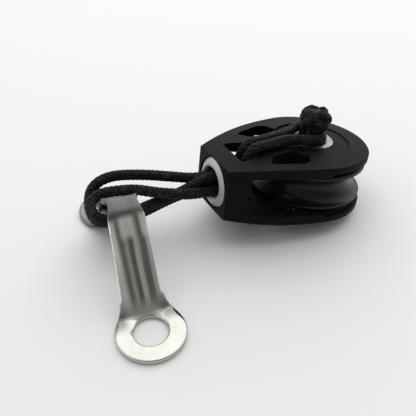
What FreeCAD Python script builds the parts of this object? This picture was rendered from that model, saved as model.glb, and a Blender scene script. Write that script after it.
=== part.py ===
# Single pulley block with a soft shackle and a pressed mounting strap.
# Millimetres and degrees. The origin lies on the floor midway between the strap's two screw
# holes, +Y runs along the strap, +X points across it towards the block, +Z points up.
import FreeCAD, Part
import math
import os
import Sketcher

os.makedirs("parts", exist_ok=True)
doc = FreeCAD.newDocument("PulleyBlock")
sheet = doc.addObject("Spreadsheet::Sheet", "Sizes")


class Size:
    """A number together with the sheet formula that gives it."""

    def __init__(self, number, formula):
        self.number = float(number)
        self.formula = formula

    def __add__(self, other):
        other = as_size(other)
        return Size(self.number + other.number, f"({self.formula} + {other.formula})")

    def __sub__(self, other):
        other = as_size(other)
        return Size(self.number - other.number, f"({self.formula} - {other.formula})")

    def __mul__(self, other):
        other = as_size(other)
        return Size(self.number * other.number, f"({self.formula} * {other.formula})")

    def __truediv__(self, other):
        other = as_size(other)
        return Size(self.number / other.number, f"({self.formula} / {other.formula})")

    def __radd__(self, other):
        return as_size(other) + self

    def __rsub__(self, other):
        return as_size(other) - self

    def __rmul__(self, other):
        return as_size(other) * self

    def __neg__(self):
        return Size(-self.number, f"(0 - {self.formula})")

    def __float__(self):
        return self.number


def as_size(value):
    """A plain number becomes a Size whose formula is the number itself."""
    if isinstance(value, Size):
        return value
    return Size(value, f"{value}" if value >= 0 else f"(0 - {-value})")


def root(value):
    """Square root of a Size."""
    return Size(math.sqrt(value.number), f"sqrt({value.formula})")


def sine(angle):
    """Sine of a Size in degrees."""
    return Size(math.sin(math.radians(angle.number)), f"sin({angle.formula})")


def cosine(angle):
    """Cosine of a Size in degrees."""
    return Size(math.cos(math.radians(angle.number)), f"cos({angle.formula})")


size_count = 0


def size(alias, number, note):
    """One driving dimension: a row of the sheet with its name, its number and what it is."""
    global size_count
    size_count += 1
    sheet.set(f"A{size_count}", alias)
    sheet.set(f"B{size_count}", str(number))
    sheet.set(f"C{size_count}", note)
    sheet.setAlias(f"B{size_count}", alias)
    return Size(number, f"Sizes.{alias}")


# Where the block lies: its lower cheek rests on the floor by the tail
block_x = size("block_x", 56.2, "hub axis at mid thickness, across the strap")
block_y = size("block_y", 10.65, "hub axis at mid thickness, along the strap")
block_heading = size("block_heading", 5.90, "turn of the block about the vertical")
block_pitch = size("block_pitch", 8.34, "head up, tail down")
block_roll = size("block_roll", -6.02, "tip to the far side")

# The moulding, from the head face at -X to the round tail at +X
head_reach = size("head_reach", 30.5, "hub axis to head face")
head_half_width = size("head_half_width", 8.1, "head face, half its width")
head_half_height = size("head_half_height", 7.37, "head face, half its height")
side_radius = size("side_radius", 84.0, "gentle curve of the sides in plan")
tail_offset = size("tail_offset", 0.8, "centre of the tail arc, headward of the hub axis")
tail_radius = size("tail_radius", 17.0, "tail arc in plan")
lip_end = size("lip_end", 4.5, "headward of the hub axis, where sides and tail arc meet")
cheek_height = size("cheek_height", 9.0, "flat of the cheeks above mid thickness")
crown_radius = size("crown_radius", 140.0, "curve of the cheeks from head to middle")
crown_start = size("crown_start", 9.0, "headward of the hub axis, where the curve begins")
side_crown = size("side_crown", 200.0, "curve of the cheeks from side to side")
crown_sweep = size("crown_sweep", 6.0, "half the turn of that curve, past both sides")
tail_rim_height = size("tail_rim_height", 8.1, "cheek at the tail edge, above mid thickness")
fall_start = size("fall_start", 2.0, "headward of the hub axis, where the fall to the tail begins")
fall_radius = size("fall_radius", 184.0, "curve of the cheeks from middle to tail")
edge_bevel = size("edge_bevel", 0.3, "bevel of the cheeks' outer edges")
rim_inner = size("rim_inner", 14.4, "inner radius of the hollow under the tail edge")
rim_under = size("rim_under", 6.5, "underside of the tail edge above mid thickness")
rim_turn = size("rim_turn", 103.5, "half the turn of that hollow about the hub")
head_wall = size("head_wall", 5.2, "thickness of the head")
slot_height = size("slot_height", 5.6, "inner face of the cheeks above mid thickness")
slot_corner = size("slot_corner", 1.8, "rounding of the slot's corners at the head")
dish_radius = size("dish_radius", 10.8, "outer edge of the dish round the hub")
dish_depth = size("dish_depth", 0.75, "dish at its outer edge, below the cheek flat")
dish_centre_drop = size("dish_centre_drop", 0.45, "dish beside the hub flange, below the cheek flat")

# Cut-outs of the cheeks, corners measured from the hub axis
window_tip_x = size("window_tip_x", 18.8, "pointed end of the window, headward")
window_tip_y = size("window_tip_y", 9.0, "pointed end of the window, sideways")
window_knee_x = size("window_knee_x", 16.4, "inner corner by the point, headward")
window_knee_y = size("window_knee_y", 6.2, "inner corner by the point, sideways")
window_apex_x = size("window_apex_x", 8.8, "inner corner by the dish, headward")
window_apex_y = size("window_apex_y", 5.3, "inner corner by the dish, sideways")
window_back_x = size("window_back_x", 6.8, "rearmost corner, headward")
window_back_y = size("window_back_y", 8.9, "rearmost corner, sideways")
window_heel_x = size("window_heel_x", 8.3, "outer rear corner, headward")
window_heel_y = size("window_heel_y", 11.5, "outer rear corner, sideways")
window_side_x = size("window_side_x", 10.5, "outer side, rear end, headward")
window_side_y = size("window_side_y", 12.2, "outer side, rear end, sideways")
window_front_x = size("window_front_x", 17.5, "outer side, front end, headward")
window_front_y = size("window_front_y", 10.0, "outer side, front end, sideways")
head_window_back = size("head_window_back", 19.3, "cord window of the head, rear edge")
head_window_wide = size("head_window_wide", 5.3, "cord window, half width at the head wall")
head_window_narrow = size("head_window_narrow", 3.4, "cord window, half width at its rear edge")
head_window_neck = size("head_window_neck", 1.6, "length of the cord window's straight sides")

# Hub, sheave and bearing
hub_bore = size("hub_bore", 8.4, "hole through the hub")
hub_wall = size("hub_wall", 1.0, "wall of the hub sleeve")
hub_flare = size("hub_flare", 0.55, "flare of the bores at their mouths")
hub_flange = size("hub_flange", 12.4, "diameter of the hub flange")
collar_width = size("collar_width", 1.0, "collar on the sleeve, past the sleeve all round")
flange_thick = size("flange_thick", 1.2, "thickness of hub flange and collar")
flange_drop = size("flange_drop", 0.3, "top of the flange below the cheek flat")
collar_drop = size("collar_drop", 1.0, "face of the collar below the cheek flat")
seat_clearance = size("seat_clearance", 0.2, "round the flanges in their seats")
slide_clearance = size("slide_clearance", 0.05, "round the sleeve in the cheeks")
sheave_radius = size("sheave_radius", 16.0, "sheave, to its rim")
rim_half_width = size("rim_half_width", 4.9, "half the sheave's width at the rim")
groove_half_width = size("groove_half_width", 3.95, "half the mouth of the rope groove")
groove_radius = size("groove_radius", 4.0, "arc of the rope groove")
rim_bevel = size("rim_bevel", 0.3, "bevel of the rim's outer edges")
bush_wall = size("bush_wall", 1.25, "wall of the bearing bush")
running_clearance = size("running_clearance", 0.05, "bush on sleeve")
relief_inner = size("relief_inner", 8.4, "side relief of the sheave, inner radius")
relief_outer = size("relief_outer", 13.6, "side relief of the sheave, outer radius")
relief_depth = size("relief_depth", 0.5, "side relief of the sheave")
washer_radius = size("washer_radius", 8.0, "thrust washers")
washer_thick = size("washer_thick", 0.5, "thrust washers")
end_clearance = size("end_clearance", 0.1, "sheave to thrust washer")

# How far the drawing of a cut runs past the material that it takes away
cut_margin = size("cut_margin", 1.0, "cuts, past what they cut")

# Thimble ring of the head
thimble_bore = size("thimble_bore", 8.4, "hole through the thimble")
thimble_wall = size("thimble_wall", 1.0, "wall of its tube")
thimble_flange = size("thimble_flange", 13.6, "diameter of its flange")
thimble_thick = size("thimble_thick", 1.6, "thickness of its flange")
thimble_proud = size("thimble_proud", 0.5, "inner part of the flange proud of the head face")
thimble_fall = size("thimble_fall", 0.9, "how far the flange slopes back to its outer edge")

# Mounting strap
hole_pitch = size("hole_pitch", 46.0, "screw hole to screw hole")
screw_hole = size("screw_hole", 8.4, "screw hole")
foot_radius = size("foot_radius", 8.5, "round foot")
strap_thick = size("strap_thick", 1.5, "sheet thickness")
strap_height = size("strap_height", 23.85, "top of the arch above the floor")
apex_radius = size("apex_radius", 4.2, "bend over the top, at mid thickness")
leg_angle = size("leg_angle", 55.0, "slope of the legs")
foot_bend = size("foot_bend", 2.2, "bend between foot and leg, at mid thickness")
neck_width = size("neck_width", 9.9, "strap just above the foot")
mid_width = size("mid_width", 9.2, "strap half way up")
top_width = size("top_width", 8.9, "strap below the bend over the top")
waist_width = size("waist_width", 7.4, "strap over the top")
gutter_depth = size("gutter_depth", 1.1, "hollow of the gutter")
neck_round = size("neck_round", 2.4, "fillet between foot and neck")
strap_lean = size("strap_lean", 0.7, "how far the top of the arch leans towards the block")

# Soft shackle
cord_diameter = size("cord_diameter", 2.8, "braided cord")
leg_headward = size("leg_headward", 1.7, "legs in the hub, headward of its axis")
leg_offset = size("leg_offset", 1.5, "each leg beside the hub axis")
knot_base = size("knot_base", 13.3, "underside of the stopper knot above mid thickness")
knot_base_radius = size("knot_base_radius", 4.0, "flat underside of the knot")
knot_radius = size("knot_radius", 4.8, "knot at its widest")
knot_middle = size("knot_middle", 15.8, "height of its widest place")
knot_top = size("knot_top", 18.4, "top of the knot")
knot_shoulder = size("knot_shoulder", 3.6, "rounding of the knot, lower arc")
doc.recompute()

pieces = []


def place(x, y, z):
    """A point of the drawing as a vector."""
    return FreeCAD.Vector(float(x), float(y), float(z))


def new_body(name):
    """An empty body that will be one piece."""
    body = doc.addObject("PartDesign::Body", name)
    body.Label = name
    return body


def axis_of(body, role):
    """One of the body's own origin planes or axes."""
    return [item for item in body.Origin.OriginFeatures if item.Role == role][0]


def new_sketch(body, role, name, shift=None):
    """A sketch on one of the body's origin planes, moved along its normal where shift is given."""
    sketch = body.newObject("Sketcher::SketchObject", name)
    sketch.AttachmentSupport = [(axis_of(body, role), "")]
    sketch.MapMode = "FlatFace"
    if shift is not None:
        sketch.setExpression("AttachmentOffset.Base.z", as_size(shift).formula)
    return sketch


def pin(sketch, geometry, end, x, y):
    """Hold one point at (x, y) from the sketch's origin."""
    for direction, value in (("X", as_size(x)), ("Y", as_size(y))):
        if value.number == 0 and value.formula in ("0", "0.0"):
            axis = -2 if direction == "X" else -1
            sketch.addConstraint(Sketcher.Constraint("PointOnObject", geometry, end, axis))
            continue
        rule = Sketcher.Constraint(f"Distance{direction}", -1, 1, geometry, end, value.number)
        index = sketch.addConstraint(rule)
        sketch.setExpression(f"Constraints[{index}]", value.formula)


def hold_radius(sketch, geometry, radius):
    """Hold the radius of an arc or a circle."""
    index = sketch.addConstraint(Sketcher.Constraint("Radius", geometry, abs(float(radius))))
    sketch.setExpression(f"Constraints[{index}]", as_size(radius).formula)


def draw_loop(sketch, *steps):
    """A closed outline. A step is (x, y) for a line to that point or (x, y, radius, turn) for
    an arc to it, turn being 1 for anticlockwise and -1 for clockwise."""
    first = sketch.GeometryCount
    ends = [(float(step[0]), float(step[1])) for step in steps]
    for index, step in enumerate(steps):
        x_from, y_from = ends[index - 1]
        x_to, y_to = ends[index]
        start = FreeCAD.Vector(x_from, y_from, 0)
        stop = FreeCAD.Vector(x_to, y_to, 0)
        if len(step) == 2:
            sketch.addGeometry(Part.LineSegment(start, stop))
            continue
        radius, turn = float(step[2]), step[3]
        chord = stop - start
        rise = math.sqrt(max(radius ** 2 - chord.Length ** 2 / 4, 0.0))
        normal = FreeCAD.Vector(-chord.y, chord.x, 0).normalize()
        centre = (start + stop) * 0.5 + normal * rise * turn
        middle = centre - normal * radius * turn
        sketch.addGeometry(Part.ArcOfCircle(start, middle, stop))
    count = len(steps)
    for index, step in enumerate(steps):
        geometry = first + index
        arc = len(step) == 4
        # A sketch keeps its arcs anticlockwise, so a clockwise one ends at its own first point
        end = 1 if arc and step[3] < 0 else 2
        following = first + (index + 1) % count
        next_step = steps[(index + 1) % count]
        begin = 2 if len(next_step) == 4 and next_step[3] < 0 else 1
        sketch.addConstraint(Sketcher.Constraint("Coincident", geometry, end, following, begin))
        pin(sketch, geometry, end, step[0], step[1])
        if arc:
            hold_radius(sketch, geometry, step[2])


def draw_circle(sketch, x, y, radius):
    """A full circle."""
    middle = FreeCAD.Vector(float(x), float(y), 0)
    circle = Part.Circle(middle, FreeCAD.Vector(0, 0, 1), float(radius))
    geometry = sketch.addGeometry(circle)
    pin(sketch, geometry, 3, x, y)
    hold_radius(sketch, geometry, radius)


def settle(feature):
    """Recompute and stop if the feature failed or changed nothing."""
    doc.recompute()
    if feature.State and ("Invalid" in feature.State or "Error" in feature.State):
        raise RuntimeError(f"{feature.Name} failed")
    return feature


def pad(body, sketch, length, midplane=True):
    feature = body.newObject("PartDesign::Pad", sketch.Name + "_pad")
    feature.Profile = sketch
    feature.Midplane = midplane
    feature.setExpression("Length", as_size(length).formula)
    return settle(feature)


def cut_through(body, sketch):
    """A pocket through everything on both sides of the sketch."""
    feature = body.newObject("PartDesign::Pocket", sketch.Name + "_cut")
    feature.Profile = sketch
    feature.Midplane = True
    feature.Type = "ThroughAll"
    return checked_cut(body, feature)


def cut_depth(body, sketch, length, reverse=False):
    feature = body.newObject("PartDesign::Pocket", sketch.Name + "_cut")
    feature.Profile = sketch
    feature.Reversed = reverse
    feature.setExpression("Length", as_size(length).formula)
    return checked_cut(body, feature)


def checked_cut(body, feature):
    """Recompute, and stop if the cut removed nothing."""
    before = feature.BaseFeature.Shape.Volume
    settle(feature)
    if feature.Shape.Volume > before - 0.001:
        raise RuntimeError(f"{feature.Name} removed nothing")
    return feature


def turn_cut(body, sketch, role, half_angle=None):
    """A groove about one of the body's axes, all round or by half_angle to each side."""
    feature = body.newObject("PartDesign::Groove", sketch.Name + "_cut")
    feature.Profile = sketch
    feature.ReferenceAxis = (axis_of(body, role), [""])
    if half_angle is None:
        feature.Angle = 360
    else:
        feature.Midplane = True
        feature.setExpression("Angle", (half_angle * 2).formula)
    return checked_cut(body, feature)


def turn_solid(body, sketch, role):
    """A solid of revolution about one of the body's axes."""
    feature = body.newObject("PartDesign::Revolution", sketch.Name + "_turn")
    feature.Profile = sketch
    feature.ReferenceAxis = (axis_of(body, role), [""])
    feature.Angle = 360
    return settle(feature)


def crown_cut(body, sketch, axis_height, sweep):
    """A groove about a line along X, which crowns a face from side to side."""
    ends = (place(-1, axis_height, 0), place(1, axis_height, 0))
    line = sketch.addGeometry(Part.LineSegment(*ends), True)
    pin(sketch, line, 1, -1, axis_height)
    pin(sketch, line, 2, 1, axis_height)
    feature = body.newObject("PartDesign::Groove", sketch.Name + "_cut")
    feature.Profile = sketch
    feature.ReferenceAxis = (sketch, ["Axis0"])
    feature.Midplane = True
    feature.setExpression("Angle", (sweep * 2).formula)
    return checked_cut(body, feature)


def bevel_edges(body, width, chosen, name):
    """A bevel on the edges of the body's present shape that chosen() picks."""
    base = body.Tip
    names = [f"Edge{n}" for n, edge in enumerate(base.Shape.Edges, 1) if chosen(base.Shape, edge)]
    if not names:
        raise RuntimeError(f"{name} found no edges")
    feature = body.newObject("PartDesign::Chamfer", name)
    feature.Base = (base, names)
    feature.setExpression("Size", as_size(width).formula)
    return settle(feature)


def meets_side(shape, edge):
    """True for an edge between a curved upright side and a face that isn't upright."""
    upright = []
    for face in shape.ancestorsOfType(edge, Part.Face):
        low_u, high_u, low_v, high_v = face.ParameterRange
        normal = face.normalAt((low_u + high_u) / 2, (low_v + high_v) / 2)
        if abs(normal.z) < 0.01:
            upright.append(face)
    return len(upright) == 1 and isinstance(upright[0].Surface, Part.Cylinder)


def finish_piece(shape_object, placement=None):
    """Give a piece its place and put it on the list of what is written."""
    if placement is not None:
        shape_object.Placement = placement
    doc.recompute()
    pieces.append(shape_object)


# Values that several pieces share
sleeve_radius = hub_bore / 2 + hub_wall
flange_top = cheek_height - flange_drop
flange_seat = flange_top - flange_thick
collar_face = cheek_height - collar_drop
collar_seat = collar_face - flange_thick
flange_seat_radius = hub_flange / 2 + seat_clearance
collar_radius = sleeve_radius + collar_width
collar_seat_radius = collar_radius + seat_clearance
thimble_radius = thimble_bore / 2 + thimble_wall
tail_reach = tail_radius - tail_offset
lip_end_half = root(tail_radius * tail_radius - (lip_end - tail_offset) * (lip_end - tail_offset))
slot_back = head_reach - head_wall
far_out = tail_radius * 2
rest_tolerance = 0.01


def make_block_body():
    """The moulding: a crowned plan outline, slotted for the sheave and cut out for lightness."""
    body = new_body("block_body")
    plan = new_sketch(body, "XY_Plane", "plan")
    draw_loop(
        plan,
        (-head_reach, -head_half_width),
        (-lip_end, -lip_end_half, side_radius, 1),
        (tail_reach, 0, tail_radius, 1),
        (-lip_end, lip_end_half, tail_radius, 1),
        (-head_reach, head_half_width, side_radius, 1),
    )
    pad(body, plan, cheek_height * 2)

    # Both cheeks are crowned: long curves to the head and to the tail, and one from side to side
    for side, name in ((1, "upper_crown"), (-1, "lower_crown")):
        crown = new_sketch(body, "XZ_Plane", name)
        draw_loop(
            crown,
            (-head_reach, side * head_half_height),
            (-crown_start, side * cheek_height, crown_radius, -side),
            (-fall_start, side * cheek_height),
            (tail_reach, side * tail_rim_height, fall_radius, -side),
            (tail_reach + cut_margin, side * tail_rim_height),
            (tail_reach + cut_margin, side * (cheek_height + cut_margin)),
            (-head_reach - cut_margin, side * (cheek_height + cut_margin)),
            (-head_reach - cut_margin, side * head_half_height),
        )
        crown_cut(body, crown, side * (cheek_height - side_crown), crown_sweep)
    bevel_edges(body, edge_bevel, meets_side, "side_edges")

    # Shallow dish round the hub
    for side, seat_radius, name in (
        (1, flange_seat_radius, "upper_dish"),
        (-1, collar_seat_radius, "lower_dish"),
    ):
        dish = new_sketch(body, "XZ_Plane", name)
        edge = side * (cheek_height - dish_centre_drop)
        draw_loop(
            dish,
            (0, edge),
            (seat_radius, edge),
            (dish_radius, side * (cheek_height - dish_depth)),
            (dish_radius, side * (cheek_height + cut_margin)),
            (0, side * (cheek_height + cut_margin)),
        )
        turn_cut(body, dish, "Z_Axis")

    # Slot for the sheave, open at both sides and at the tail
    slot = new_sketch(body, "XZ_Plane", "slot")
    draw_loop(
        slot,
        (-slot_back, -(slot_height - slot_corner)),
        (-(slot_back - slot_corner), -slot_height, slot_corner, 1),
        (far_out, -slot_height),
        (far_out, slot_height),
        (-(slot_back - slot_corner), slot_height),
        (-slot_back, slot_height - slot_corner, slot_corner, 1),
    )
    cut_through(body, slot)

    # Under the tail edge the cheeks are hollowed, so that the edge is thin
    rim_hollow = new_sketch(body, "XZ_Plane", "rim_hollow")
    rim_slope = rim_under - slot_height
    draw_loop(
        rim_hollow,
        (rim_inner, -slot_height),
        (rim_inner + rim_slope, -rim_under),
        (far_out, -rim_under),
        (far_out, rim_under),
        (rim_inner + rim_slope, rim_under),
        (rim_inner, slot_height),
    )
    turn_cut(body, rim_hollow, "Z_Axis", rim_turn)

    # Cut-outs of both cheeks, one each side of the middle line
    for side, name in ((-1, "near_window"), (1, "far_window")):
        window = new_sketch(body, "XY_Plane", name)
        draw_loop(
            window,
            (-window_tip_x, side * window_tip_y),
            (-window_knee_x, side * window_knee_y),
            (-window_apex_x, side * window_apex_y),
            (-window_back_x, side * window_back_y),
            (-window_heel_x, side * window_heel_y),
            (-window_side_x, side * window_side_y),
            (-window_front_x, side * window_front_y),
        )
        cut_through(body, window)
    head_window = new_sketch(body, "XY_Plane", "head_window")
    neck_x = slot_back - head_window_neck
    draw_loop(
        head_window,
        (-slot_back, -head_window_wide),
        (-neck_x, -head_window_wide),
        (-head_window_back, -head_window_narrow),
        (-head_window_back, head_window_narrow),
        (-neck_x, head_window_wide),
        (-slot_back, head_window_wide),
    )
    cut_through(body, head_window)

    # Bores and seats for the hub sleeve and the thimble
    hub_hole = new_sketch(body, "XY_Plane", "hub_hole")
    draw_circle(hub_hole, 0, 0, sleeve_radius + slide_clearance)
    cut_through(body, hub_hole)
    for side, depth, seat_radius, name in (
        (1, flange_seat, flange_seat_radius, "flange_seat"),
        (-1, collar_seat, collar_seat_radius, "collar_seat"),
    ):
        seat = new_sketch(body, "XY_Plane", name, side * depth)
        draw_circle(seat, 0, 0, seat_radius)
        cut_depth(body, seat, cheek_height, reverse=side > 0)
    thimble_hole = new_sketch(body, "YZ_Plane", "thimble_hole", -(head_reach + cut_margin))
    draw_circle(thimble_hole, 0, 0, thimble_radius + slide_clearance)
    cut_depth(body, thimble_hole, head_wall + cut_margin * 2, reverse=True)
    thimble_seat = new_sketch(body, "YZ_Plane", "thimble_seat", -(head_reach + cut_margin))
    draw_circle(thimble_seat, 0, 0, thimble_flange / 2 + seat_clearance)
    cut_depth(body, thimble_seat, cut_margin + thimble_thick - thimble_proud, reverse=True)
    return body


def resting_place(body):
    """Where the moulding lies when it is turned as in use and its lowest point is on the floor."""
    turn = FreeCAD.Rotation(float(block_heading), float(block_pitch), float(block_roll))
    points = body.Shape.tessellate(rest_tolerance)[0]
    lowest = min(turn.multVec(point).z for point in points)
    return FreeCAD.Placement(place(block_x, block_y, -lowest), turn)


def make_hub_sleeve():
    """Hollow axle: a tube with a flange on top, its mouth flared for the cord."""
    body = new_body("hub_sleeve")
    bore = hub_bore / 2
    half = new_sketch(body, "XZ_Plane", "sleeve_half")
    draw_loop(
        half,
        (bore, -collar_face + hub_flare),
        (bore + hub_flare, -collar_face),
        (sleeve_radius, -collar_face),
        (sleeve_radius, flange_seat),
        (hub_flange / 2, flange_seat),
        (hub_flange / 2, flange_top),
        (bore + hub_flare, flange_top),
        (bore, flange_top - hub_flare),
    )
    turn_solid(body, half, "Z_Axis")
    finish_piece(body, block_placement)


def make_hub_collar():
    """Ring pressed on the lower end of the sleeve, in the seat of the lower cheek."""
    body = new_body("hub_collar")
    half = new_sketch(body, "XZ_Plane", "collar_half")
    draw_loop(
        half,
        (sleeve_radius, -collar_face),
        (collar_radius, -collar_face),
        (collar_radius, -collar_seat),
        (sleeve_radius, -collar_seat),
    )
    turn_solid(body, half, "Z_Axis")
    finish_piece(body, block_placement)


washer_face = slot_height - washer_thick
sheave_face = washer_face - end_clearance
bush_bore = sleeve_radius + running_clearance
bush_radius = bush_bore + bush_wall


def make_sheave():
    """Wheel with a round rope groove and a shallow relief in each side."""
    body = new_body("sheave")
    half = new_sketch(body, "XZ_Plane", "sheave_half")
    draw_loop(
        half,
        (bush_radius, -sheave_face),
        (relief_inner, -sheave_face),
        (relief_inner + relief_depth, -(sheave_face - relief_depth)),
        (relief_outer - relief_depth, -(sheave_face - relief_depth)),
        (relief_outer, -rim_half_width),
        (sheave_radius - rim_bevel, -rim_half_width),
        (sheave_radius, -(rim_half_width - rim_bevel)),
        (sheave_radius, -groove_half_width),
        (sheave_radius, groove_half_width, groove_radius, -1),
        (sheave_radius, rim_half_width - rim_bevel),
        (sheave_radius - rim_bevel, rim_half_width),
        (relief_outer, rim_half_width),
        (relief_outer - relief_depth, sheave_face - relief_depth),
        (relief_inner + relief_depth, sheave_face - relief_depth),
        (relief_inner, sheave_face),
        (bush_radius, sheave_face),
    )
    turn_solid(body, half, "Z_Axis")
    finish_piece(body, block_placement)


def make_ring(name, inner, outer, bottom, top):
    """A plain ring about the hub axis."""
    body = new_body(name)
    half = new_sketch(body, "XZ_Plane", name + "_half")
    draw_loop(half, (inner, bottom), (outer, bottom), (outer, top), (inner, top))
    turn_solid(body, half, "Z_Axis")
    finish_piece(body, block_placement)


def make_thimble():
    """Flanged ring in the head, its mouth flared for the cord."""
    body = new_body("head_thimble")
    bore = thimble_bore / 2
    front = -(head_reach + thimble_proud)
    half = new_sketch(body, "XZ_Plane", "thimble_half")
    draw_loop(
        half,
        (front, bore + hub_flare),
        (front, thimble_radius),
        (front + thimble_fall, thimble_flange / 2),
        (front + thimble_thick, thimble_flange / 2),
        (front + thimble_thick, thimble_radius),
        (-slot_back, thimble_radius),
        (-slot_back, bore + hub_flare),
        (-slot_back - hub_flare, bore),
        (front + hub_flare, bore),
    )
    turn_solid(body, half, "X_Axis")
    finish_piece(body, block_placement)


# The strap's side view at mid thickness, on the near side of the arch
half_thick = strap_thick / 2
apex_height = strap_height - half_thick
leg_run = cosine(leg_angle)
leg_rise = sine(leg_angle)
leg_top_y = apex_radius * leg_rise
leg_top_z = apex_height - apex_radius * (1 - leg_run)
corner_y = leg_top_y + (leg_top_z - half_thick) * leg_run / leg_rise
bend_tangent = foot_bend * leg_rise / (1 + leg_run)
bend_start_y = corner_y + bend_tangent
bend_centre_z = half_thick + foot_bend
hole_y = hole_pitch / 2
half_neck = neck_width / 2
fillet_reach = foot_radius + neck_round
fillet_rise = root(fillet_reach * fillet_reach - (half_neck + neck_round) * (half_neck + neck_round))
neck_top_y = hole_y - fillet_rise
neck_top_z = half_thick + (corner_y - neck_top_y) * leg_rise / leg_run


def make_foot(side, name):
    """Flat round foot with its screw hole, the bend beside it and the flat neck above."""
    body = new_body(name)
    profile = new_sketch(body, "YZ_Plane", name + "_profile")
    lower = foot_bend + half_thick
    upper = foot_bend - half_thick
    turn = -side
    sheet_run = half_thick * leg_rise
    sheet_rise = half_thick * leg_run
    draw_loop(
        profile,
        (side * (hole_y + foot_radius + cut_margin), 0),
        (side * bend_start_y, 0),
        (side * (bend_start_y - lower * leg_rise), bend_centre_z - lower * leg_run, lower, turn),
        (side * (neck_top_y - sheet_run), neck_top_z - sheet_rise),
        (side * (neck_top_y + sheet_run), neck_top_z + sheet_rise),
        (side * (bend_start_y - upper * leg_rise), bend_centre_z - upper * leg_run),
        (side * bend_start_y, strap_thick, upper, -turn),
        (side * (hole_y + foot_radius + cut_margin), strap_thick),
    )
    pad(body, profile, (foot_radius + cut_margin) * 2)
    plan = new_sketch(body, "XY_Plane", name + "_plan")
    touch_x = (half_neck + neck_round) * foot_radius / fillet_reach
    touch_y = hole_y - fillet_rise * foot_radius / fillet_reach
    draw_loop(
        plan,
        (-half_neck, 0),
        (-half_neck, side * neck_top_y),
        (-touch_x, side * touch_y, neck_round, -side),
        (0, side * (hole_y + foot_radius), foot_radius, -side),
        (touch_x, side * touch_y, foot_radius, -side),
        (half_neck, side * neck_top_y, neck_round, -side),
        (half_neck, 0),
    )
    frame = foot_radius * 2
    draw_loop(
        plan,
        (-frame, -side),
        (-frame, side * (hole_y + frame)),
        (frame, side * (hole_y + frame)),
        (frame, -side),
    )
    cut_through(body, plan)
    hole = new_sketch(body, "XY_Plane", name + "_hole")
    draw_circle(hole, 0, side * hole_y, screw_hole / 2)
    cut_through(body, hole)
    return body


def gutter_section(name, y, z, tilt, width, hollow):
    """Cross-section of the strap at a point of its side view, hollow on the outside."""
    section = doc.addObject("Sketcher::SketchObject", name)
    edge = half_thick + hollow / 2
    if hollow.number == 0:
        draw_loop(
            section,
            (-width / 2, -half_thick),
            (width / 2, -half_thick),
            (width / 2, half_thick),
            (-width / 2, half_thick),
        )
    else:
        arc = (width * width / 4 + hollow * hollow) / (hollow * 2)
        draw_loop(
            section,
            (-width / 2, edge - strap_thick),
            (width / 2, edge - strap_thick, arc, 1),
            (width / 2, edge),
            (-width / 2, edge, arc, -1),
        )
    lean = strap_lean * (z - neck_top_z) / (apex_height - neck_top_z)
    upright = FreeCAD.Rotation(FreeCAD.Vector(1, 0, 0), 90 + tilt)
    section.Placement = FreeCAD.Placement(place(lean, y, z), upright)
    return section


def make_strap():
    """One stamping: two feet joined by an arched gutter that narrows over the top."""
    near_foot = make_foot(-1, "near_foot")
    far_foot = make_foot(1, "far_foot")
    sections = []
    leg_steps = 4
    for step in range(leg_steps):
        part = step / leg_steps
        y = -(neck_top_y + (leg_top_y - neck_top_y) * part)
        z = neck_top_z + (leg_top_z - neck_top_z) * part
        if part < 0.5:
            width = neck_width + (mid_width - neck_width) * (part * 2)
        else:
            width = mid_width + (top_width - mid_width) * (part * 2 - 1)
        hollow = gutter_depth * min(1.0, part * 2)
        sections.append((y, z, float(leg_angle), width, hollow))
    top_steps = 4
    for step in range(top_steps + 1):
        angle = leg_angle * (step / top_steps - 1)
        share = (1 + math.cos(math.pi * step / top_steps)) / 2
        width = waist_width + (top_width - waist_width) * share
        y = apex_radius * sine(angle)
        z = apex_height - apex_radius * (1 - cosine(angle))
        sections.append((y, z, -float(angle), width, gutter_depth))
    for y, z, tilt, width, hollow in reversed(sections[:-1]):
        sections.append((-y, z, -tilt, width, hollow))
    sketches = []
    for number, (y, z, tilt, width, hollow) in enumerate(sections, 1):
        sketches.append(gutter_section(f"gutter_{number}", y, z, tilt, width, hollow))
    doc.recompute()
    leg_end = leg_steps + 1
    top_end = leg_steps + top_steps * 2 + 1
    lofts = []
    for name, first, last in (
        ("near_leg", 0, leg_end),
        ("bend_over_top", leg_steps, top_end),
        ("far_leg", top_end - 1, len(sketches)),
    ):
        loft = doc.addObject("Part::Loft", name)
        loft.Sections = sketches[first:last]
        loft.Solid = True
        loft.Ruled = False
        lofts.append(loft)
    strap = doc.addObject("Part::MultiFuse", "mounting_strap")
    strap.Label = "mounting_strap"
    strap.Shapes = [near_foot, *lofts, far_foot]
    strap.Refine = True
    finish_piece(strap)


# Route of each leg from the eye behind the knot's neck: over the upper cheek, down through the
# head, out round the strap, back through the head and under the lower cheek to the hub
near_route = [
    (58.9, 12.1, 21.2),
    (59.4, 7.6, 21.6),
    (55.0, 7.1, 22.4),
    (50.7, 7.5, 23.3),
    (45.8, 7.6, 24.3),
    (40.8, 7.4, 24.8),
    (36.1, 7.2, 24.9),
    (34.8, 7.4, 16.2),
    (26.1, 7.2, 17.9),
    (23.3, 7.7, 16.5),
    (19.6, 8.3, 14.5),
    (15.1, 7.3, 13.9),
    (10.7, 6.6, 13.7),
    (6.5, 5.4, 13.9),
    (1.5, 3.4, 13.9),
    (-2.9, 3.3, 13.9),
    (-5.8, 5.4, 14.4),
    (-6.5, 9.8, 15.4),
    (-3.1, 12.1, 16.2),
    (2.2, 11.2, 16.4),
    (6.2, 9.7, 16.8),
    (10.8, 6.6, 16.8),
    (15.0, 5.4, 16.2),
    (19.1, 4.6, 15.5),
    (25.6, 5.7, 13.9),
    (34.3, 6.3, 12.6),
    (33.3, 4.3, 4.1),
    (39.6, 3.1, 3.3),
    (45.3, 3.6, 2.4),
    (49.4, 5.2, 2.2),
    (53.48, 7.89, 2.28),
]
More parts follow.
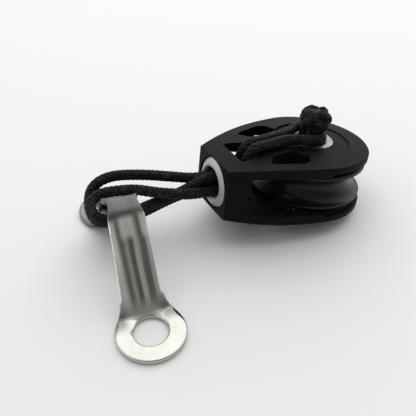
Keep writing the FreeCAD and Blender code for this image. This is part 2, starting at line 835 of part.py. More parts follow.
far_route = [
    (58.9, 12.1, 21.2),
    (58.4, 16.6, 20.8),
    (53.9, 16.4, 21.3),
    (50.7, 12.8, 22.2),
    (47.8, 10.7, 22.9),
    (43.9, 10.4, 23.5),
    (39.9, 10.3, 24.0),
    (35.7, 10.1, 24.5),
    (34.4, 10.5, 15.7),
    (25.6, 9.8, 16.3),
    (22.7, 11.1, 15.0),
    (16.5, 11.8, 16.7),
    (11.0, 13.9, 17.2),
    (6.0, 15.4, 17.5),
    (2.1, 16.3, 17.6),
    (-1.4, 16.3, 17.2),
    (-4.0, 15.7, 16.0),
    (-5.6, 14.4, 14.2),
    (-6.4, 10.2, 12.2),
    (-5.2, 7.2, 11.0),
    (-1.5, 6.2, 10.8),
    (3.0, 6.3, 11.0),
    (7.9, 7.2, 11.1),
    (13.7, 9.2, 11.2),
    (19.5, 9.7, 12.0),
    (25.3, 8.7, 13.5),
    (34.0, 9.3, 12.4),
    (32.9, 7.2, 3.8),
    (39.3, 6.1, 3.0),
    (45.0, 6.7, 2.2),
    (49.0, 8.4, 1.9),
    (53.14, 10.87, 2.07),
]
arc_share = 0.45


def rounded_path(points):
    """Straight runs joined by tangent arcs, each as large as its two runs allow."""
    edges = []
    radii = []
    last = points[0]
    for before, corner, after in zip(points, points[1:], points[2:]):
        back = before - corner
        ahead = after - corner
        tangent = arc_share * min(back.Length, ahead.Length)
        back.normalize()
        ahead.normalize()
        half_turn = (math.pi - back.getAngle(ahead)) / 2
        radius = tangent / math.tan(half_turn)
        start = corner + back * tangent
        stop = corner + ahead * tangent
        bisector = (back + ahead).normalize()
        middle = corner + bisector * (radius / math.cos(half_turn) - radius)
        edges.append(Part.LineSegment(last, start).toShape())
        edges.append(Part.Arc(start, middle, stop).toShape())
        radii.append(round(radius, 1))
        last = stop
    edges.append(Part.LineSegment(last, points[-1]).toShape())
    return Part.Wire(edges), radii


def make_cord(name, route, across):
    """One leg of the soft shackle as a round tube, ending on the knot's underside."""
    corner = place(-leg_headward, across, knot_base)
    points = [FreeCAD.Vector(*point) for point in route] + [block_placement.multVec(corner)]
    path, radii = rounded_path(points)
    print(name, "length", round(path.Length, 1), "radii", radii)
    radius = float(cord_diameter) / 2
    circle = Part.Circle(points[0], points[1] - points[0], radius).toShape()
    tube = path.makePipeShell([Part.Wire([circle])], True, False)
    expected = math.pi * radius ** 2 * path.Length
    if abs(tube.Volume / expected - 1) > 0.01:
        raise RuntimeError(f"{name} has volume {tube.Volume}, not {expected}")
    cord = doc.addObject("Part::Feature", name)
    cord.Label = name
    cord.Shape = tube
    finish_piece(cord)


def make_knot():
    """Outer shape of the button knot, with a flat underside where both legs enter it."""
    body = new_body("stopper_knot")
    half = new_sketch(body, "XZ_Plane", "knot_half")
    crown = knot_top - knot_middle
    crown_arc = (knot_radius * knot_radius + crown * crown) / (crown * 2)
    draw_loop(
        half,
        (0, knot_base),
        (knot_base_radius, knot_base),
        (knot_radius, knot_middle, knot_shoulder, 1),
        (0, knot_top, crown_arc, 1),
    )
    turn_solid(body, half, "Z_Axis")
    finish_piece(body, block_placement)


moulding = make_block_body()
block_placement = resting_place(moulding)
print("hub axis at mid thickness", block_placement.Base)
finish_piece(moulding, block_placement)
make_thimble()
make_hub_sleeve()
make_hub_collar()
make_sheave()
make_ring("sheave_bush", bush_bore, bush_radius, -sheave_face, sheave_face)
make_ring("upper_washer", sleeve_radius + end_clearance, washer_radius, washer_face, slot_height)
make_ring("lower_washer", sleeve_radius + end_clearance, washer_radius, -slot_height, -washer_face)
make_strap()
make_cord("near_cord_leg", near_route, -leg_offset)
make_cord("far_cord_leg", far_route, leg_offset)
make_knot()

for item in doc.Objects:
    if "Invalid" in item.State or "Error" in item.State:
        raise RuntimeError(f"{item.Label} is in state {item.State}")
for piece in pieces:
    shape = piece.Shape
    if shape.isNull() or not shape.isValid() or len(shape.Solids) < 1:
        raise RuntimeError(f"{piece.Label} has no valid shape")
    print(piece.Label, len(shape.Solids), round(shape.Volume, 3))
for piece in pieces:
    piece.Shape.exportStep(f"parts/{piece.Label}.step")
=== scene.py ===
# Small single pulley block tied by a braided soft shackle to a pressed mounting strap.
# Lengths are in metres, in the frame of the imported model: origin midway between the strap's holes.
import math

import bmesh
import bpy
from mathutils import Matrix, Vector


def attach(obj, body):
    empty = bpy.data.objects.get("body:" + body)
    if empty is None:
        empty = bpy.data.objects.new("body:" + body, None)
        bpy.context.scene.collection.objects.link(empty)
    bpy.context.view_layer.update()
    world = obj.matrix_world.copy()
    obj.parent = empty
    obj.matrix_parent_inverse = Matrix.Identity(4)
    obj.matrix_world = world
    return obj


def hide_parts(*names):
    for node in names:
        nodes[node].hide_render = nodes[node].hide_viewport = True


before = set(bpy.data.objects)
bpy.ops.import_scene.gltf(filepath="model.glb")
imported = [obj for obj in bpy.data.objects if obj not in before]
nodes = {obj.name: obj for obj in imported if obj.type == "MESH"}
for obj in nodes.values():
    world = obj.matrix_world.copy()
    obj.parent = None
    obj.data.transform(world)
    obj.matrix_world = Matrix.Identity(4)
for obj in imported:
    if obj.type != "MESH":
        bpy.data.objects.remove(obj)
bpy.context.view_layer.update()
scene = bpy.context.scene
mm = 0.001
fullTurn = 2 * math.pi
upright = Vector((0, 0, 1))
seam = 1e-7   # points nearer than this are one


class Wire:
    # one socket of a tree: sums and products of wires become Math nodes
    def __init__(self, wiring, socket):
        self.wiring = wiring
        self.socket = socket

    def maths(self, operation, other, reflected=False):
        first, second = (other, self) if reflected else (self, other)
        return self.wiring.add("ShaderNodeMath", {"operation": operation}, {0: first, 1: second})

    def __add__(self, other):
        return self.maths("ADD", other)

    def __radd__(self, other):
        return self.maths("ADD", other, True)

    def __sub__(self, other):
        return self.maths("SUBTRACT", other)

    def __rsub__(self, other):
        return self.maths("SUBTRACT", other, True)

    def __mul__(self, other):
        return self.maths("MULTIPLY", other)

    def __rmul__(self, other):
        return self.maths("MULTIPLY", other, True)

    def __abs__(self):
        return self.wiring.add("ShaderNodeMath", {"operation": "ABSOLUTE"}, {0: self})


class Wiring:
    # the nodes of a material or of the world
    def __init__(self, tree):
        self.tree = tree

    def add(self, kind, settings, sockets, output=0):
        node = self.tree.nodes.new(kind)
        for name, value in settings.items():
            if name == "stops":
                ramp = node.color_ramp
                while len(ramp.elements) < len(value):
                    ramp.elements.new(1.0)
                for element, (position, colour) in zip(ramp.elements, value):
                    element.position = position
                    element.color = colour
            else:
                setattr(node, name, value)
        for name, value in sockets.items():
            if isinstance(value, Wire):
                self.tree.links.new(value.socket, node.inputs[name])
            else:
                node.inputs[name].default_value = value
        return Wire(self, node.outputs[output])

    def own(self):
        # the object's own coordinates
        return self.add("ShaderNodeTexCoord", {}, {}, "Object")

    def place(self, scale, turn=(0, 0, 0)):
        # the same, stretched and turned
        sockets = {"Vector": self.own(), "Scale": scale, "Rotation": turn}
        return self.add("ShaderNodeMapping", {}, sockets)

    def part(self, vector, axis):
        return self.add("ShaderNodeSeparateXYZ", {}, {"Vector": vector}, axis)

    def noise(self, where, scale, detail):
        sockets = {"Vector": where, "Scale": scale, "Detail": detail, "Roughness": 0.55}
        return self.add("ShaderNodeTexNoise", {}, sockets, "Fac")

    def ramp(self, value, stops):
        return self.add("ShaderNodeValToRGB", {"stops": stops}, {"Fac": value}, "Color")

    def span(self, value, low, high):
        # 0 to 1 stretched to low to high
        sockets = {"Value": value, "To Min": low, "To Max": high}
        return self.add("ShaderNodeMapRange", {}, sockets, "Result")

    def smooth(self, value, start, end):
        # a soft step from 0 at start to 1 at end
        sockets = {"Value": value, "From Min": start, "From Max": end}
        return self.add("ShaderNodeMapRange", {"interpolation_type": "SMOOTHSTEP"}, sockets, "Result")

    def between(self, share, low, high):
        sockets = {"Factor": share, "A": low, "B": high}
        return self.add("ShaderNodeMix", {"data_type": "FLOAT"}, sockets, "Result")

    def cover(self, share, under, over):
        # one colour laid over another, by the colour sockets of a Mix node
        return self.add("ShaderNodeMix", {"data_type": "RGBA"}, {0: share, 6: under, 7: over}, 2)


class Finish(Wiring):
    # one material, with its Principled shader
    def __init__(self, name, plain):
        self.material = bpy.data.materials.new(name)
        self.material.use_nodes = True
        super().__init__(self.material.node_tree)
        self.shader = self.tree.nodes["Principled BSDF"]
        for socket, value in plain.items():
            self.shader.inputs[socket].default_value = value

    def feed(self, socket, wire):
        self.tree.links.new(wire.socket, self.shader.inputs[socket])

    def relief(self, height, depth, strength):
        sockets = {"Height": height, "Distance": depth, "Strength": strength}
        self.feed("Normal", self.add("ShaderNodeBump", {}, sockets, "Normal"))


def grey(level, warm=0.0):
    return (level * (1 + warm), level, level * (1 - warm), 1)


def newPiece(name, bm, finish, body):
    mesh = bpy.data.meshes.new(name)
    bm.to_mesh(mesh)
    bm.free()
    piece = bpy.data.objects.new(name, mesh)
    scene.collection.objects.link(piece)
    mesh.materials.append(finish.material)
    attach(piece, body)
    return piece


# The photograph's viewing angle
view = {
    "place": (-14.32 * mm, -102.0 * mm, 108.67 * mm),
    "turn": (48.75, 0.0, -19.80),   # degrees
    "lens": 48.46,
    "sensor": 36.0,
    "nearest": 5 * mm,
}


def setCamera():
    camera = bpy.data.cameras.new("camera")
    camera.lens = view["lens"]
    camera.sensor_width = view["sensor"]
    camera.clip_start = view["nearest"]
    holder = bpy.data.objects.new("camera", camera)
    holder.location = view["place"]
    holder.rotation_euler = [math.radians(angle) for angle in view["turn"]]
    scene.collection.objects.link(holder)
    scene.camera = holder


setCamera()
print("camera set")


# Braided cord: two legs from the eye behind the knot, round the strap and back up through the hub
cord = {
    "diameter": 2.8 * mm,
    "strands": 8,             # strands wound each way
    "layRadius": 1.12 * mm,   # of the strands' middles about the cord's line
    "weave": 0.14 * mm,       # how far a strand rises and dips
    "strandWide": 0.78 * mm,
    "strandThick": 0.46 * mm,
    "pitch": 10.4 * mm,       # one turn of a strand
    "step": 0.33 * mm,        # from ring to ring of a skin
    "around": 6,              # points round a strand
    "core": 1.03 * mm,
    "coreAround": 12,
}

# The routes' points in mm, as in the part's source, with a few moved to follow the photograph
nearRoute = [
    (58.9, 12.1, 21.2), (59.4, 7.6, 21.6), (55, 7.1, 22.4), (51.2, 8.6, 22.7),
    (48, 8.8, 23.1), (45.1, 8.2, 23.5), (42.2, 7.4, 23.8), (39.2, 7, 24.1),
    (37.3, 6.8, 24), (35.2, 6.8, 20.3), (34.8, 7.4, 16.2), (26.1, 7.2, 17.9),
    (23.3, 7.7, 16.5), (19.6, 8.3, 14.5), (15.1, 7.3, 13.9), (10.7, 6.6, 13.7),
    (6.5, 5.4, 13.9), (1.5, 3.4, 13.9), (-2.9, 3.3, 13.9), (-5.8, 5.4, 14.4),
    (-6.5, 9.8, 15.4), (-3.1, 12.1, 16.2), (2.2, 11.2, 16.4), (6.2, 9.7, 16.8),
    (10.8, 6.6, 16.8), (15, 5.4, 16.2), (19.1, 4.6, 15.5), (25.6, 5.7, 13.9),
    (34.3, 6.3, 12.6), (33.3, 4.3, 4.1), (39.6, 3.1, 3.3), (45.3, 3.6, 2.4),
    (49.4, 5.2, 2.2), (53.48, 7.89, 2.28), (54.13, 8.47, 7.12), (56.48, 10.59, 24.52),
]
farRoute = [
    (58.9, 12.1, 21.2), (58.4, 16.6, 20.8), (54.1, 16.3, 21.2), (51.2, 13.2, 22),
    (48.2, 12.3, 22.5), (45.3, 11.6, 22.9), (42.2, 10.5, 23.4), (38.9, 9.9, 23.8),
    (36.9, 9.7, 23.7), (34.9, 10, 19.9), (34.4, 10.5, 15.7), (25.6, 9.8, 16.3),
    (22.7, 11.1, 15), (16.5, 11.8, 16.7), (11, 13.9, 17.2), (6, 15.4, 17.5),
    (2.1, 16.3, 17.6), (-1.4, 16.3, 17.2), (-4, 15.7, 16), (-5.6, 14.4, 14.2),
    (-6.4, 10.2, 12.2), (-5.2, 7.2, 11), (-1.5, 6.2, 10.8), (3, 6.3, 11),
    (7.9, 7.2, 11.1), (13.7, 9.2, 11.2), (19.5, 9.7, 12), (25.3, 8.7, 13.5),
    (34, 9.3, 12.4), (32.9, 7.2, 3.8), (39.3, 6.1, 3), (45, 6.7, 2.2),
    (49, 8.4, 1.9), (53.14, 10.87, 2.07), (53.79, 11.45, 6.91), (56.13, 13.55, 24.21),
]

cordLook = {
    "specular": 0.16,
    "sheen": 0.02,
    "yarn": (1.6, 9.0, 1.0),   # the fibres' pattern lies along the strands
    "fibres": 3.0,
    "fibreShare": 0.55,        # of the tone, the rest is patches
    "patches": 700.0,
    "dirt": 130.0,
    "tones": ((0.43, grey(0.002)), (0.55, grey(0.008, 0.06)), (0.66, grey(0.07, 0.1))),
    "roughness": (0.42, 0.68),
    "relief": 0.08 * mm,
    "reliefStrength": 0.9,
}


def cordFinish():
    paint = Finish("braidedCord", {
        "Specular IOR Level": cordLook["specular"],
        "Sheen Weight": cordLook["sheen"],
    })
    lay = paint.add("ShaderNodeUVMap", {"uv_map": "lay"}, {}, "UV")
    yarn = paint.add("ShaderNodeMapping", {}, {"Vector": lay, "Scale": cordLook["yarn"]})
    fibres = paint.noise(yarn, cordLook["fibres"], 3.0)
    own = paint.own()
    patches = paint.noise(own, cordLook["patches"], 2.0)
    dirt = paint.noise(own, cordLook["dirt"], 3.0)
    share = cordLook["fibreShare"]
    paint.feed("Base Color", paint.ramp(fibres * share + patches * (1 - share), cordLook["tones"]))
    paint.feed("Roughness", paint.span(dirt, *cordLook["roughness"]))
    paint.relief(fibres, cordLook["relief"], cordLook["reliefStrength"])
    return paint


def centreLine(name, route):
    # the route's NURBS spline, read back as closely spaced points
    curve = bpy.data.curves.new(name, "CURVE")
    curve.dimensions = "3D"
    spline = curve.splines.new("NURBS")
    spline.points.add(len(route) - 1)
    for point, spot in zip(spline.points, route):
        point.co = (spot[0] * mm, spot[1] * mm, spot[2] * mm, 1.0)
    spline.order_u = 3
    spline.use_endpoint_u = True
    spline.resolution_u = 16
    holder = bpy.data.objects.new(name, curve)
    scene.collection.objects.link(holder)
    line = bpy.data.meshes.new_from_object(holder)
    points = [vertex.co.copy() for vertex in line.vertices]
    bpy.data.objects.remove(holder)
    bpy.data.curves.remove(curve)
    bpy.data.meshes.remove(line)
    return points


def evenly(points, step):
    # the same line with its points evenly spaced, and its length
    lengths = [0.0]
    for before, after in zip(points, points[1:]):
        lengths.append(lengths[-1] + (after - before).length)
    count = max(2, round(lengths[-1] / step))
    spaced = []
    span = 0
    for number in range(count + 1):
        target = lengths[-1] * number / count
        while span < len(points) - 2 and lengths[span + 1] < target:
            span += 1
        part = (target - lengths[span]) / max(lengths[span + 1] - lengths[span], 1e-9)
        spaced.append(points[span].lerp(points[span + 1], min(part, 1.0)))
    return spaced, lengths[-1]


def framesAlong(points):
    # each point with two sideways directions, which turn as little as they can
    last = len(points) - 1
    tangents = []
    for number in range(len(points)):
        before, after = points[max(number - 1, 0)], points[min(number + 1, last)]
        tangents.append((after - before).normalized())
    side = tangents[0].orthogonal().normalized()
    frames = []
    for number, tangent in enumerate(tangents):
        if number:
            side = tangents[number - 1].rotation_difference(tangent) @ side
            side = (side - tangent * side.dot(tangent)).normalized()
        frames.append((points[number], side, tangent.cross(side)))
    return frames


def addTube(bm, rings, spacing):
    # a skin over rings of points, from a grid whose rows become the rings, with its own lay map
    around = len(rings[0])
    lay = bm.loops.layers.uv["lay"]
    grid = bmesh.ops.create_grid(bm, x_segments=len(rings) - 1, y_segments=around, size=1.0)
    verts = sorted(grid["verts"], key=lambda vert: (round(vert.co.x, 6), round(vert.co.y, 6)))
    spots = {}
    for number, vert in enumerate(verts):
        row, column = divmod(number, around + 1)
        vert.co = rings[row][column % around]
        spots[vert] = (row * spacing / mm, column / around)
    for face in {face for vert in verts for face in vert.link_faces}:
        for loop in face.loops:
            loop[lay].uv = spots[loop.vert]


def ringAt(middle, across, outward, wide, thick, around):
    # an oval ring of points
    ring = []
    for corner in range(around):
        angle = fullTurn * corner / around
        ring.append(middle + across * (wide * math.cos(angle)) + outward * (thick * math.sin(angle)))
    return ring


def braid(bm, points, scale=1.0):
    # strands that wind both ways, each over two and under two, round a core
    frames = framesAlong(points)
    spacing = (points[1] - points[0]).length
    count = cord["strands"]
    turnRate = fullTurn / (cord["pitch"] * scale)
    layRadius = cord["layRadius"] * scale
    wide = cord["strandWide"] / 2 * scale
    thick = cord["strandThick"] / 2 * scale
    for way in (1, -1):
        for strand in range(count):
            rings = []
            for index, (centre, side, up) in enumerate(frames):
                turn = turnRate * spacing * index
                crossing = way * turn * count / math.pi   # strands met so far, one wave to every four
                lift = way * math.cos(math.pi / 2 * (2 * strand + crossing - 0.5))
                angle = way * turn + fullTurn * strand / count
                outward = side * math.cos(angle) + up * math.sin(angle)
                tangent = side.cross(up)
                across = tangent.cross(outward) - tangent * (layRadius * turnRate * way)
                middle = centre + outward * (layRadius + cord["weave"] * scale * lift)
                rings.append(ringAt(middle, across.normalized(), outward, wide, thick, cord["around"]))
            addTube(bm, rings, spacing)
    core = cord["core"] * scale
    rings = [ringAt(centre, side, up, core, core, cord["coreAround"]) for centre, side, up in frames]
    addTube(bm, rings, spacing)


def closeSkins(bm):
    # seams merged, open ends capped, faces outward
    bmesh.ops.remove_doubles(bm, verts=bm.verts, dist=seam)
    rims = [edge for edge in bm.edges if edge.is_boundary]
    bmesh.ops.holes_fill(bm, edges=rims, sides=0)
    bmesh.ops.recalc_face_normals(bm, faces=bm.faces)
    for face in bm.faces:
        face.smooth = True


cordPaint = cordFinish()


def makeLeg(name, route, replaced):
    points, length = evenly(centreLine(name + "Line", route), cord["step"])
    bm = bmesh.new()
    bm.loops.layers.uv.new("lay")
    braid(bm, points)
    closeSkins(bm)
    piece = newPiece(name, bm, cordPaint, "block_and_strap")
    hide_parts(replaced)
    print("cord", name, "length in mm", round(length / mm, 1), "faces", len(piece.data.polygons))
    return piece, points, length


nearLeg, nearPoints, nearLength = makeLeg("near_leg", nearRoute, "near_cord_leg")
farLeg, farPoints, farLength = makeLeg("far_leg", farRoute, "far_cord_leg")


# Hub: what the knot and the turned pieces are centred on
hub = {
    "place": (56.2 * mm, 10.65 * mm, 10.904 * mm),   # middle of the wheel
    "axis": (0.1327, 0.11915, 0.98397),
    "headward": (-0.98418, -0.10171, 0.14505),       # from the wheel to the face of the head
}

# Stopper knot: the same cord woven three times round and over itself into a button
knot = {
    "height": 14.5 * mm,      # of its middle above the middle of the wheel
    "aside": 0.3 * mm,        # it has slipped a little towards the tail
    "turns": 3,
    "bights": 4,
    "round": 3.1,             # radius of the cord's line at its widest, in mm
    "tall": 2.7,              # half height of the ball that the line lies on
    "rise": 2.05,             # half height of the line itself
    "weave": 0.3,             # over and under at the crossings
    "points": 72,
    "scale": 0.92,            # the cord is drawn tight here
    "filling": (3.5 * mm, 3.5 * mm, 2.8 * mm),   # the ball of cord inside
}


def knotRoute():
    # turns round with bights above and below, crossing over and under by turns
    route = []
    wave = knot["bights"] / knot["turns"]
    for number in range(knot["points"] + 1):
        turn = fullTurn * knot["turns"] * number / knot["points"]
        high = knot["rise"] * math.cos(turn * wave)
        reach = knot["round"] * math.sqrt(1 - (high / knot["tall"]) ** 2)
        spot = Vector((reach * math.cos(turn), reach * math.sin(turn), high))
        route.append(spot + spot.normalized() * (knot["weave"] * math.sin(turn * 2 * wave)))
    return route


def makeKnot():
    points, length = evenly(centreLine("knotLine", knotRoute()), cord["step"] * knot["scale"])
    bm = bmesh.new()
    bm.loops.layers.uv.new("lay")
    braid(bm, points, knot["scale"])
    filling = bmesh.ops.create_icosphere(bm, subdivisions=4, radius=1.0)
    bmesh.ops.scale(bm, vec=knot["filling"], verts=filling["verts"])
    closeSkins(bm)
    axis = Vector(hub["axis"])
    middle = Vector(hub["place"]) + axis * knot["height"] + Vector((knot["aside"], 0, 0))
    lean = upright.rotation_difference(axis).to_matrix().to_4x4()
    bmesh.ops.transform(bm, matrix=Matrix.Translation(middle) @ lean, verts=bm.verts)
    piece = newPiece("knot", bm, cordPaint, "block_and_strap")
    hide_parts("stopper_knot")
    print("knot made, cord in it in mm", round(length / mm, 1), "faces", len(piece.data.polygons))
    return piece


buttonKnot = makeKnot()


# Finishes of the rigid pieces
mouldingLook = {
    "specular": 0.06,
    "grain": 2600.0,             # fine grain from the mould
    "patches": 70.0,
    "scuffs": (900, 160, 160),
    "scuffTurn": (0, 0, 0.3),
    "tones": ((0.5, grey(0.005)), (0.75, grey(0.009, -0.03))),
    "roughness": (0.44, 0.6),
    "relief": 0.02 * mm,
    "reliefStrength": 0.5,
}
sheaveLook = {
    "specular": 0.24,
    "rings": 9000.0,             # turning marks
    "patches": 90.0,
    "tones": ((0.3, grey(0.004)), (0.7, grey(0.009))),
    "roughness": (0.26, 0.4),
    "relief": 0.01 * mm,
    "reliefStrength": 0.4,
}
aluminiumLook = {
    "hubLevel": 0.33,
    "ringLevel": 0.5,
    "dim": 0.7,                  # of the darker patches
    "warm": 0.05,
    "rings": 14000.0,
    "patches": 400.0,
    "roughness": (0.3, 0.46),
    "relief": 0.015 * mm,
    "reliefStrength": 0.5,
}


def turningMarks(paint, axis, rings):
    # fine rings about an axis through the hub, of uneven strength
    back = upright.rotation_difference(Vector(axis)).inverted()
    shift = -(back @ Vector(hub["place"]))
    sockets = {"Vector": paint.own(), "Rotation": back.to_euler(), "Location": shift}
    local = paint.add("ShaderNodeMapping", {}, sockets)
    x, y, z = (paint.part(local, letter) for letter in "XYZ")
    reach = paint.add("ShaderNodeMath", {"operation": "SQRT"}, {0: x * x + y * y})
    across = paint.add("ShaderNodeCombineXYZ", {}, {"X": reach * rings, "Y": z * rings}, "Vector")
    return paint.noise(across, 1.0, 2.0)


def mouldingFinish():
    look = mouldingLook
    paint = Finish("blackNylon", {"Specular IOR Level": look["specular"]})
    own = paint.own()
    grain = paint.noise(own, look["grain"], 3.0)
    patches = paint.noise(own, look["patches"], 4.0)
    scuffs = paint.noise(paint.place(look["scuffs"], look["scuffTurn"]), 1.0, 4.0)
    paint.feed("Base Color", paint.ramp(scuffs, look["tones"]))
    paint.feed("Roughness", paint.span(patches, *look["roughness"]))
    paint.relief(grain, look["relief"], look["reliefStrength"])
    return paint


def sheaveFinish():
    look = sheaveLook
    paint = Finish("blackAnodised", {"Specular IOR Level": look["specular"]})
    marks = turningMarks(paint, hub["axis"], look["rings"])
    patches = paint.noise(paint.own(), look["patches"], 3.0)
    paint.feed("Base Color", paint.ramp(marks, look["tones"]))
    paint.feed("Roughness", paint.span(patches, *look["roughness"]))
    paint.relief(marks, look["relief"], look["reliefStrength"])
    return paint


def aluminiumFinish(name, axis, level):
    look = aluminiumLook
    paint = Finish(name, {"Metallic": 1.0})
    marks = turningMarks(paint, axis, look["rings"])
    patches = paint.noise(paint.own(), look["patches"], 3.0)
    tones = ((0.35, grey(level * look["dim"], look["warm"])), (0.7, grey(level, look["warm"])))
    paint.feed("Base Color", paint.ramp(patches, tones))
    paint.feed("Roughness", paint.span(patches, *look["roughness"]))
    paint.relief(marks, look["relief"], look["reliefStrength"])
    return paint


# The strap's real marks and wear, with its painted reflections and painted highlight
strapWearAndReflections = {
    "halfWidth": 4.6 * mm,
    "stray": (60, 60, 60),
    "wander": 0.14,                  # how far the lengthwise bands of painted reflection stray, in parts of the width
    "fineWander": 0.1,
    "drawn": (1500.0, 26.0, 26.0),   # fine marks of the press along the sheet
    "clouds": 260.0,
    "legLow": 2.0 * mm,              # the legs carry the painted reflection bands, the feet are plain polished metal
    "legHigh": 6.0 * mm,
    "shineFrom": 15.5 * mm,          # a painted highlight, on the rims and in the middle, where the sheet turns over to the crown
    "shineTo": 17.6 * mm,
    "shineHalf": 2.2 * mm,
    "shineMiddle": 0.9 * mm,
    "rimFrom": 2.9 * mm,
    "rimTo": 3.9 * mm,
    "paintedHighlight": (0.9, (0.97, 0.95, 0.9, 1)),
    "darkFrom": 2.8 * mm,            # painted dark reflection on the flares beside the neck
    "darkTo": 5.2 * mm,
    "darkStray": 4.0 * mm,
    "neckTop": 14.5 * mm,
    "neckMiddle": 18.8 * mm,
    "neckEnd": 22.6 * mm,
    "neckDarkReflection": (0.8, (0.15, 0.14, 0.13, 1)),
    "rubLow": 19.8 * mm,             # the crown's top is painted dark, a painted dark reflection, and is rougher where the cord rubs it
    "rubHigh": 21.2 * mm,
    "crownDarkReflection": (0.96, (0.09, 0.087, 0.082, 1)),
    "dullFoot": 12.0 * mm,           # the far leg and foot are darker and rougher
    "farSideDarker": (0.85, (0.15, 0.15, 0.14, 1)),
    "footTones": ((0.35, (0.5, 0.49, 0.45, 1)), (0.7, (0.56, 0.55, 0.51, 1))),
    "roughness": (0.07, 0.16),
    "rougher": 0.2,                  # where rubbed or dulled
    "relief": 0.02 * mm,
    "reliefStrength": 0.3,
    # painted reflections: the light and dark streaks that the polished legs mirror, painted into the
    # colour
    "paintedReflectionBands": (                       # streaks along the legs, from side to side
        (0.06, (0.92, 0.9, 0.84, 1)),
        (0.14, (0.6, 0.58, 0.54, 1)),
        (0.2, (0.24, 0.23, 0.215, 1)),
        (0.27, (0.28, 0.27, 0.255, 1)),
        (0.34, (0.64, 0.63, 0.6, 1)),
        (0.4, (0.32, 0.29, 0.275, 1)),
        (0.47, (0.2, 0.165, 0.155, 1)),
        (0.52, (0.28, 0.25, 0.235, 1)),
        (0.58, (0.74, 0.73, 0.7, 1)),
        (0.66, (0.66, 0.645, 0.61, 1)),
        (0.72, (0.26, 0.235, 0.22, 1)),
        (0.82, (0.24, 0.22, 0.205, 1)),
        (0.88, (0.62, 0.6, 0.56, 1)),
        (0.97, (0.84, 0.82, 0.77, 1)),
    ),
}


def stainlessFinish():
    wearAndReflections = strapWearAndReflections
    paint = Finish("polishedStainless", {"Metallic": 1.0})
    own = paint.own()
    across, along, high = (paint.part(own, letter) for letter in "XYZ")
    edge, outward = abs(across), abs(along)
    stray = paint.noise(paint.place(wearAndReflections["stray"]), 1.0, 2.0)
    drawn = paint.noise(paint.place(wearAndReflections["drawn"]), 1.0, 3.0)
    clouds = paint.noise(own, wearAndReflections["clouds"], 4.0)

    # where across the sheet each band of painted reflection falls
    spot = across * (0.5 / wearAndReflections["halfWidth"]) + 0.45
    spot = spot + (stray - 0.5) * wearAndReflections["wander"] + (drawn - 0.5) * wearAndReflections["fineWander"]
    leg = paint.smooth(high, wearAndReflections["legLow"], wearAndReflections["legHigh"])
    # the crown's top: painted dark reflection in the colour, and rougher where the cord rubs
    rubAndDarkReflection = paint.smooth(high, wearAndReflections["rubLow"], wearAndReflections["rubHigh"])
    dull = paint.smooth(along, 0.0, wearAndReflections["dullFoot"])
    turned = paint.smooth(high, wearAndReflections["shineFrom"], wearAndReflections["shineTo"])
    rims = paint.smooth(edge, wearAndReflections["rimFrom"], wearAndReflections["rimTo"])
    middle = paint.smooth(edge, wearAndReflections["shineHalf"], wearAndReflections["shineMiddle"])
    # the flares beside the necks, where a painted dark reflection goes
    flare = paint.smooth(edge + (stray - 0.5) * wearAndReflections["darkStray"], wearAndReflections["darkFrom"], wearAndReflections["darkTo"])
    neck = flare * paint.smooth(outward, wearAndReflections["neckTop"], wearAndReflections["neckMiddle"])
    neck = neck * paint.smooth(outward, wearAndReflections["neckEnd"], wearAndReflections["neckMiddle"])

    # painted reflections along the legs, laid over the feet's own tone
    foot, paintedReflectionBands = paint.ramp(clouds, wearAndReflections["footTones"]), paint.ramp(spot, wearAndReflections["paintedReflectionBands"])
    tone = paint.cover(leg * (1 - rubAndDarkReflection), foot, paintedReflectionBands)
    for where, (share, colour) in (
        # painted highlight on the rims and middle where the sheet turns over to the crown
        (turned * (rims + middle), wearAndReflections["paintedHighlight"]),
        # painted dark reflection beside the necks
        (neck, wearAndReflections["neckDarkReflection"]),
        # painted dark reflection on the crown's top
        (rubAndDarkReflection, wearAndReflections["crownDarkReflection"]),
        # the far leg and foot darker
        (dull, wearAndReflections["farSideDarker"]),
    ):
        tone = paint.cover(where * share, tone, colour)
    paint.feed("Base Color", tone)
    rougher = rubAndDarkReflection * wearAndReflections["rougher"] + dull * wearAndReflections["rougher"]
    paint.feed("Roughness", paint.span(clouds, *wearAndReflections["roughness"]) + rougher)
    paint.relief(drawn, wearAndReflections["relief"], wearAndReflections["reliefStrength"])
    return paint


# Strap: the CAD's stamping with its bends eased and its edges tumbled round, as a press and a polish
# leave them
strap = {
    "grain": 0.22 * mm,       # size of the even mesh
    "polish": 5,              # passes over the whole of it
    "neckPolish": 110,        # more passes where the legs run into the feet, up and down only
    "neckFrom": 13.0 * mm,
    "neckTo": 23.0 * mm,
    "neckFade": 3.0 * mm,     # the passes draw in by this much from both ends
    "crownReach": 14.0 * mm,
    "crownDrop": 0.9 * mm,    # the crown is lower than the CAD's
    "rimDrop": 1.4 * mm,      # and its rims more, as it is flatter across than the legs
    "halfWidth": 4.5 * mm,
}


def evenMesh(source, size):
    # a closed, evenly divided copy of a mesh, with the copy's doubles merged first
    bm = bmesh.new()
    bm.from_mesh(source)
    bmesh.ops.remove_doubles(bm, verts=bm.verts, dist=seam)
    merged = bpy.data.meshes.new("merged")
    bm.to_mesh(merged)
    bm.free()
    holder = bpy.data.objects.new("merged", merged)
    scene.collection.objects.link(holder)
    even = holder.modifiers.new("even", "REMESH")
    even.mode = "VOXEL"
    even.voxel_size = size
    depsgraph = bpy.context.evaluated_depsgraph_get()
    mesh = bpy.data.meshes.new_from_object(holder.evaluated_get(depsgraph))
    bpy.data.objects.remove(holder)
    bpy.data.meshes.remove(merged)
    return mesh


def crownFall(spot):
    # how far the sheet lies lower near the top of the arch
    near = max(0.0, 1 - (spot.y / strap["crownReach"]) ** 2) ** 2
    out = min(1.0, abs(spot.x) / strap["halfWidth"]) ** 2
    return near * (strap["crownDrop"] + strap["rimDrop"] * out)


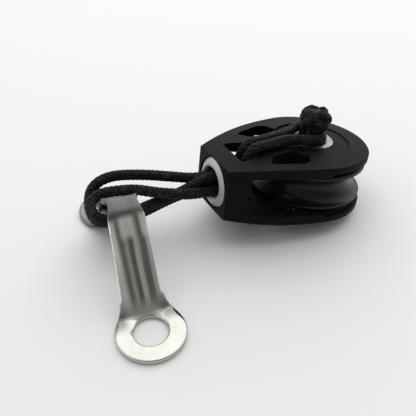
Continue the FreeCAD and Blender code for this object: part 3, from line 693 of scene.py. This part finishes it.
def polish(bm):
    for number in range(strap["polish"]):
        bmesh.ops.smooth_vert(bm, verts=bm.verts, factor=0.5,
                              use_axis_x=True, use_axis_y=True, use_axis_z=True)


def easeNecks(bm):
    for number in range(strap["neckPolish"]):
        fade = strap["neckFade"] * number / strap["neckPolish"]
        verts = [vert for vert in bm.verts
                 if strap["neckFrom"] + fade < abs(vert.co.y) < strap["neckTo"] - fade]
        bmesh.ops.smooth_vert(bm, verts=verts, factor=0.5, use_axis_z=True)


def makeStrap(finish):
    mesh = evenMesh(nodes["mounting_strap"].data, strap["grain"])
    bm = bmesh.new()
    bm.from_mesh(mesh)
    bpy.data.meshes.remove(mesh)
    for vert in bm.verts:
        vert.co.z -= crownFall(vert.co)
    polish(bm)
    easeNecks(bm)
    bmesh.ops.recalc_face_normals(bm, faces=bm.faces)
    for face in bm.faces:
        face.smooth = True
    piece = newPiece("strap", bm, finish, "block_and_strap")
    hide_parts("mounting_strap")
    print("strap made, faces", len(piece.data.polygons))


makeStrap(stainlessFinish())


def dressNode(name, finish):
    mesh = nodes[name].data
    mesh.materials.clear()
    mesh.materials.append(finish.material)
    for polygon in mesh.polygons:
        polygon.material_index = 0


moulding = mouldingFinish()
hubMetal = aluminiumFinish("turnedHub", hub["axis"], aluminiumLook["hubLevel"])
for name, finish in (
    ("block_body", moulding),
    ("sheave", sheaveFinish()),
    ("sheave_bush", moulding),
    ("upper_washer", moulding),
    ("lower_washer", moulding),
    ("hub_sleeve", hubMetal),
    ("hub_collar", hubMetal),
    ("head_thimble", aluminiumFinish("turnedRing", hub["headward"], aluminiumLook["ringLevel"])),
):
    dressNode(name, finish)
print("finishes done")


# Floor and studio light
studio = {
    "floorSize": 6.0,
    "floorColour": grey(0.95),
    "floorRoughness": 0.6,
    "keyPlace": (0.22, 0.34, 0.5),     # a large soft lamp behind the block and a little to its right
    "keyAim": (0.03, 0.0, 0.0),
    "keySize": 1.15,
    "keyPower": 3.3,
    "skyBack": 0.74,                   # the room's own light, from behind and above
    "skyFront": 0.14,                  # and from the side of the camera
    "mirrorBack": 1.0,                 # the same for what polished metal shows
    "mirrorFront": 0.3,
    "turnFrom": -0.9,                  # where the room turns from front to back, on world Y
    "turnTo": 0.1,
    "seenWhite": 1.0,
}


def makeFloor():
    bm = bmesh.new()
    bmesh.ops.create_grid(bm, x_segments=1, y_segments=1, size=studio["floorSize"])
    mesh = bpy.data.meshes.new("floor")
    bm.to_mesh(mesh)
    bm.free()
    floor = bpy.data.objects.new("floor", mesh)
    scene.collection.objects.link(floor)
    paint = Finish("paleFloor", {
        "Base Color": studio["floorColour"],
        "Roughness": studio["floorRoughness"],
    })
    mesh.materials.append(paint.material)


def addKeyLamp():
    lamp = bpy.data.lights.new("key", "AREA")
    lamp.shape = "SQUARE"
    lamp.size = studio["keySize"]
    lamp.energy = studio["keyPower"]
    holder = bpy.data.objects.new("key", lamp)
    holder.location = studio["keyPlace"]
    aim = Vector(studio["keyAim"]) - Vector(studio["keyPlace"])
    holder.rotation_euler = aim.to_track_quat("-Z", "Y").to_euler()
    scene.collection.objects.link(holder)


def setWorld():
    # a pale room, darker towards the camera, and plain white where the camera sees it
    world = bpy.data.worlds.new("studio")
    world.use_nodes = True
    room = Wiring(world.node_tree)
    way = room.add("ShaderNodeTexCoord", {}, {}, "Generated")
    facing = room.smooth(room.part(way, "Y"), studio["turnFrom"], studio["turnTo"])
    shown = room.between(facing, studio["skyFront"], studio["skyBack"])
    mirrored = room.between(facing, studio["mirrorFront"], studio["mirrorBack"])
    for ray, level in (
        ("Is Glossy Ray", mirrored),
        ("Is Transmission Ray", mirrored),
        ("Is Camera Ray", studio["seenWhite"]),
    ):
        shown = room.between(room.add("ShaderNodeLightPath", {}, {}, ray), shown, level)
    back = room.tree.nodes["Background"]
    back.inputs["Color"].default_value = (1, 1, 1, 1)
    room.tree.links.new(shown.socket, back.inputs["Strength"])
    scene.world = world


makeFloor()
addKeyLamp()
setWorld()
scene.view_settings.view_transform = "Standard"
print("floor and light done")
